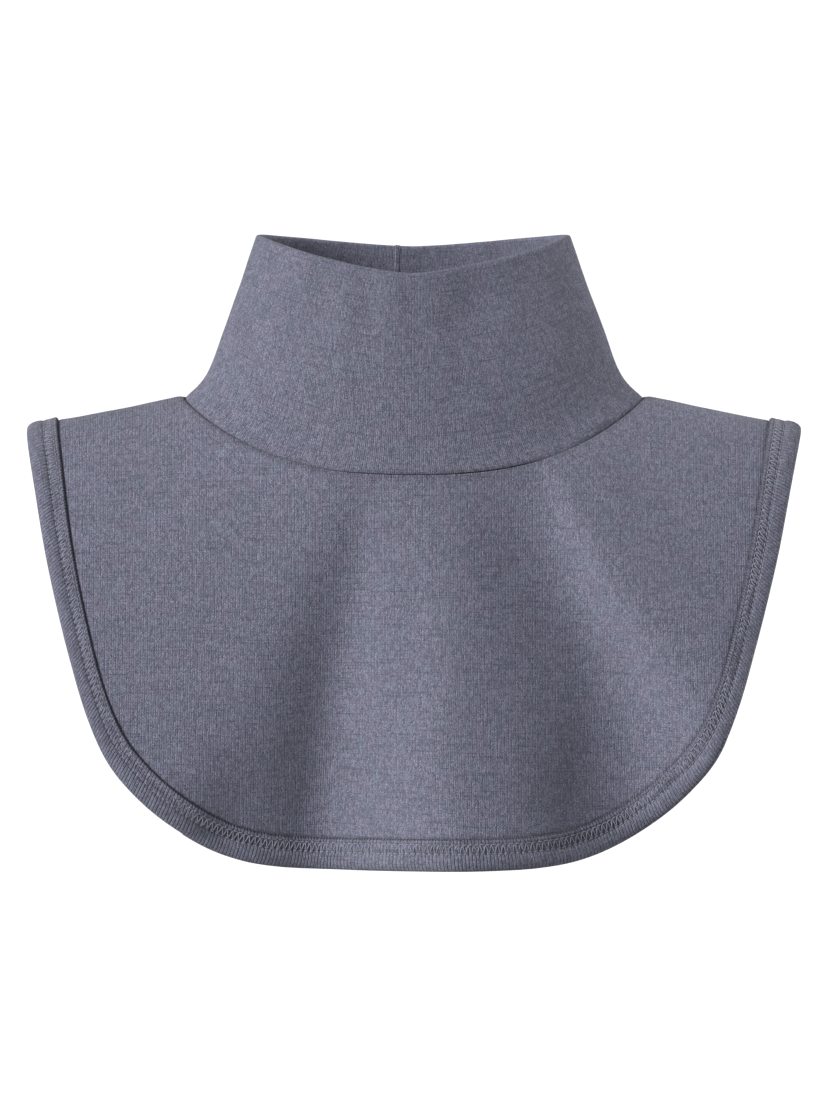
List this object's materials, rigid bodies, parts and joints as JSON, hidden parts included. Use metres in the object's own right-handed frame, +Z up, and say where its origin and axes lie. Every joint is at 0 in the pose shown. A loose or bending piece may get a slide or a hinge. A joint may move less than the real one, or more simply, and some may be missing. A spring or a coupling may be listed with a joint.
{
  "type": "neck warmer",
  "caption": "Knitted neck warmer with a stand-up collar and a bib-shaped yoke over the shoulders, its edge bound with a folded strip.",
  "frame": {"origin": "midway between the two shoulder points of the neck seam, on the axis of the wearer's neck", "axes": "+Z up along the neck, -Y the front of the wearer, +X towards the wearer's left shoulder"},
  "size_m": [0.3712, 0.1463, 0.3005],
  "materials": {
    "knit": "fine matt wool knit, blue-grey melange",
    "binding_knit": "the same knit folded and cover-stitched"
  },
  "bodies": {
    "root": {"collar": "knit", "yoke": "knit", "edge_binding": "binding_knit"}
  },
  "joints": []
}
